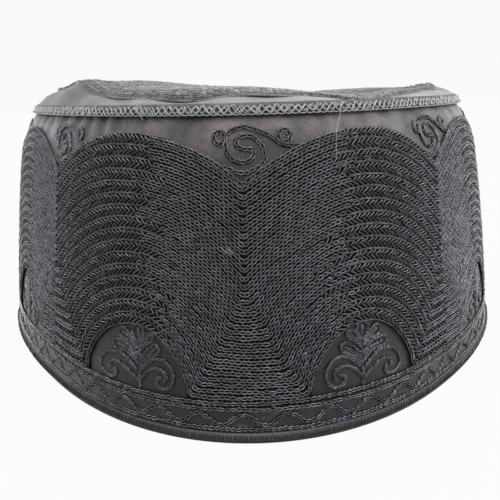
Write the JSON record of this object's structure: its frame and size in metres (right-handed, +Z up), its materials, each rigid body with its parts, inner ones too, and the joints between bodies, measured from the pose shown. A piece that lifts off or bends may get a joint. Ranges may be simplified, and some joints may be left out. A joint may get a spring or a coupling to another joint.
{
  "type": "tubeteika skullcap",
  "caption": "Soft round embroidered skullcap with a flared side band, a low dented crown, a braided seam and an open hollow for the head.",
  "frame": {"origin": "on the surface that the cap stands on, under the middle of its box", "axes": "+Z up through the crown, -Y to the front point of the cap, +X to the right seen from the front"},
  "size_m": [0.1877, 0.1986, 0.0876],
  "materials": {
    "cotton_band": "dark grey cotton sateen with a faint sheen",
    "cotton_crown": "dark grey cotton sateen with a faint sheen",
    "chain_stitch_wall": "charcoal cotton thread in chain stitch",
    "chain_stitch_crown": "charcoal cotton thread in chain stitch",
    "braid": "grey looped cotton braid",
    "binding": "charcoal cotton edge, oversewn"
  },
  "bodies": {
    "root": {"side_band": "cotton_band", "crown_panel": "cotton_crown", "arch_embroidery": "chain_stitch_wall", "crown_embroidery": "chain_stitch_crown", "crown_braid": "braid", "rim_binding": "binding"}
  },
  "joints": []
}
